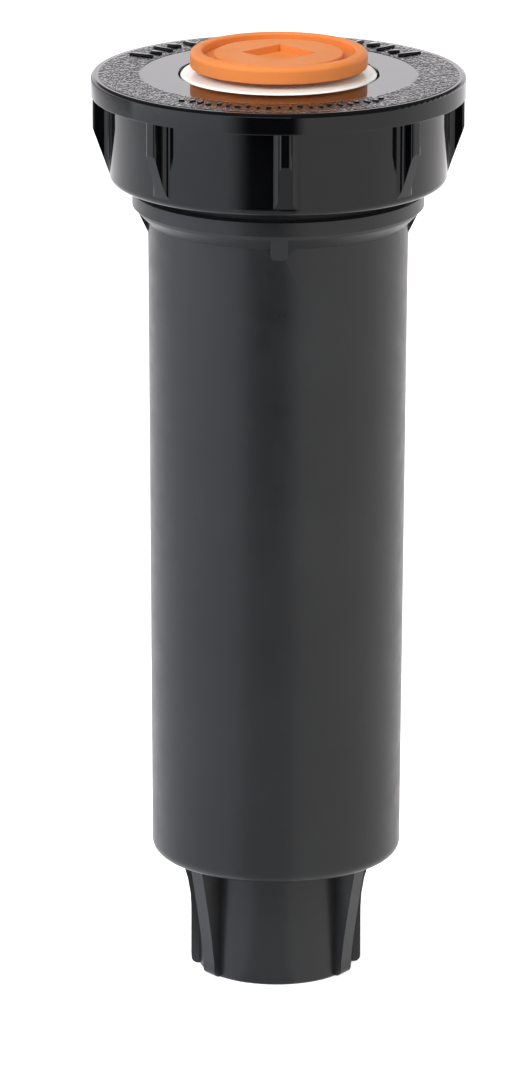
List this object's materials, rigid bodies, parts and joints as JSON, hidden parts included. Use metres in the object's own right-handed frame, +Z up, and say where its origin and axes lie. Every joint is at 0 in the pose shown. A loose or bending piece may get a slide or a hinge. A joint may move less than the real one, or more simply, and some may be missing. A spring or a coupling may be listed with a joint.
{
  "type": "pop-up irrigation spray head",
  "caption": "Pop-up lawn spray body with a threaded inlet neck, screw cap with grip lugs, wiper seal, sprung riser on a ratchet, and a pull-out flush plug.",
  "frame": {"origin": "centre of the inlet neck's lower face, on the riser's axis", "axes": "+Z up along the riser's travel; -Y is the front, where one cap lug and one collar gusset face"},
  "size_m": [0.0597, 0.0596, 0.1524],
  "materials": {
    "case_plastic": "fine satin moulded black",
    "cap_plastic": "glossy black, pebbled ring on top",
    "core_plastic": "moulded dark grey",
    "seal_elastomer": "off-white soft elastomer",
    "spring_steel": "drawn stainless wire",
    "riser_plastic": "smooth moulded black",
    "wheel_plastic": "moulded dark grey",
    "ring_plastic": "natural acetal",
    "plug_plastic": "orange moulded plastic, low sheen"
  },
  "bodies": {
    "case": {"case": "case_plastic"},
    "seal": {"seal_core": "core_plastic", "wiper_seal": "seal_elastomer", "retract_spring": "spring_steel"},
    "cap": {"cap": "cap_plastic"},
    "ratchet_ring": {"ratchet_ring": "ring_plastic"},
    "riser": {"riser": "riser_plastic", "ratchet_wheel": "wheel_plastic"},
    "plug": {"flush_plug": "plug_plastic"}
  },
  "joints": [
    {"name": "cap_lift", "type": "slide", "parent": "case", "child": "seal", "axis": [0, 0, 1], "range_m": [0, 0.01]},
    {"name": "cap_turn", "type": "hinge", "parent": "seal", "child": "cap", "pos_m": [0, 0, 0.14], "axis": [0, 0, 1], "range_deg": [0, 901]},
    {"name": "riser_popup", "type": "slide", "parent": "seal", "child": "ratchet_ring", "axis": [0, 0, 1], "range_m": [0, 0.0977], "stiffness_N_per_m": 226, "springref_m": -0.04, "deforming": ["retract_spring"]},
    {"name": "riser_turn", "type": "hinge", "parent": "ratchet_ring", "child": "riser", "pos_m": [0, 0, 0.026], "axis": [0, 0, 1], "continuous": true},
    {"name": "plug_pull", "type": "slide", "parent": "riser", "child": "plug", "axis": [0, 0, 1], "range_m": [0, 0.035]}
  ],
  "couplings": [
    {"joint": "cap_turn", "follows": "cap_lift", "rad_per_m": 1570.8}
  ]
}
